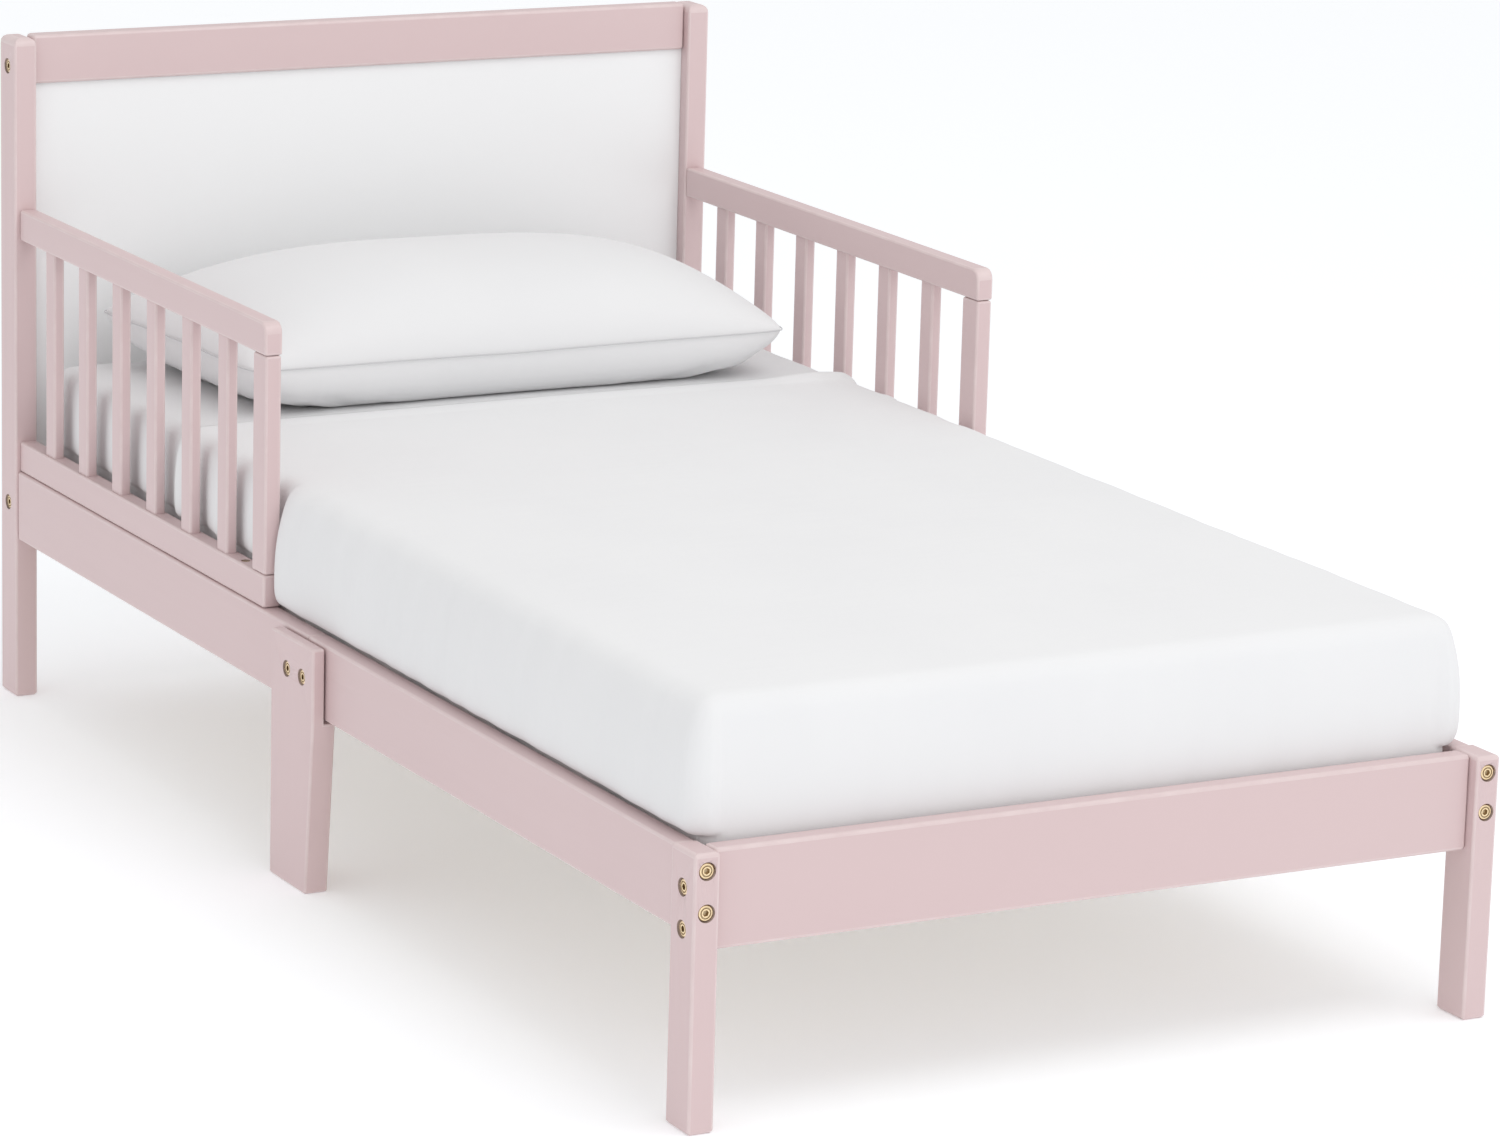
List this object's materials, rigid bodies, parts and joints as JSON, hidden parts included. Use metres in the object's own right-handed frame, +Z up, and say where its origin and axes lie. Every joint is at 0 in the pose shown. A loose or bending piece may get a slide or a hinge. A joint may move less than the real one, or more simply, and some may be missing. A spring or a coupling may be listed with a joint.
{
  "type": "toddler bed",
  "caption": "Low toddler bed with a painted timber frame, a white headboard panel, spindled half-length guard rails, a made-up mattress and a pillow.",
  "frame": {"origin": "on the floor under the middle of the bed", "axes": "+X across the bed to the right as seen from the foot end, +Y along it towards the headboard, +Z up"},
  "size_m": [0.7538, 1.43, 0.636],
  "materials": {
    "blush_paint": "satin blush-pink paint on timber",
    "white_panel": "smooth white-faced fibreboard",
    "brass": "polished brass-coloured bolts",
    "bare_pine": "planed bare pine",
    "white_cotton": "plain white cotton"
  },
  "bodies": {
    "frame": {"foot_front_bolt_left_1": "brass", "foot_front_bolt_left_2": "brass", "foot_front_bolt_right_1": "brass", "foot_front_bolt_right_2": "brass", "foot_post_left": "blush_paint", "foot_post_right": "blush_paint", "foot_rail": "blush_paint", "foot_side_bolt_left_1": "brass", "foot_side_bolt_left_2": "brass", "foot_side_bolt_right_1": "brass", "foot_side_bolt_right_2": "brass", "front_side_rail_left": "blush_paint", "front_side_rail_right": "blush_paint", "guard_bottom_rail_left": "blush_paint", "guard_bottom_rail_right": "blush_paint", "guard_end_post_left": "blush_paint", "guard_end_post_right": "blush_paint", "guard_spindle_left_1": "blush_paint", "guard_spindle_left_2": "blush_paint", "guard_spindle_left_3": "blush_paint", "guard_spindle_left_4": "blush_paint", "guard_spindle_left_5": "blush_paint", "guard_spindle_left_6": "blush_paint", "guard_spindle_right_1": "blush_paint", "guard_spindle_right_2": "blush_paint", "guard_spindle_right_3": "blush_paint", "guard_spindle_right_4": "blush_paint", "guard_spindle_right_5": "blush_paint", "guard_spindle_right_6": "blush_paint", "guard_top_rail_left": "blush_paint", "guard_top_rail_right": "blush_paint", "head_bolt_left_lower": "brass", "head_bolt_left_upper": "brass", "head_bolt_right_lower": "brass", "head_bolt_right_upper": "brass", "head_lower_rail": "blush_paint", "head_panel": "white_panel", "head_post_left": "blush_paint", "head_post_right": "blush_paint", "head_top_rail": "blush_paint", "leg_bolt_left_front": "brass", "leg_bolt_left_rear": "brass", "leg_bolt_right_front": "brass", "leg_bolt_right_rear": "brass", "mattress_cleat_left": "bare_pine", "mattress_cleat_right": "bare_pine", "mattress_slat_1": "bare_pine", "mattress_slat_2": "bare_pine", "mattress_slat_3": "bare_pine", "mattress_slat_4": "bare_pine", "mattress_slat_5": "bare_pine", "mattress_slat_6": "bare_pine", "mattress_slat_7": "bare_pine", "middle_leg_left": "blush_paint", "middle_leg_right": "blush_paint", "rear_side_rail_left": "blush_paint", "rear_side_rail_right": "blush_paint"},
    "mattress": {"mattress": "white_cotton", "top_sheet": "white_cotton"},
    "pillow": {"pillow": "white_cotton"}
  },
  "joints": [
    {"name": "mattress_lift", "type": "slide", "parent": "frame", "child": "mattress", "axis": [0, 0, 1], "range_m": [0, 0.3]},
    {"name": "pillow_lift", "type": "slide", "parent": "mattress", "child": "pillow", "axis": [0, 0, 1], "range_m": [0, 0.2]}
  ]
}
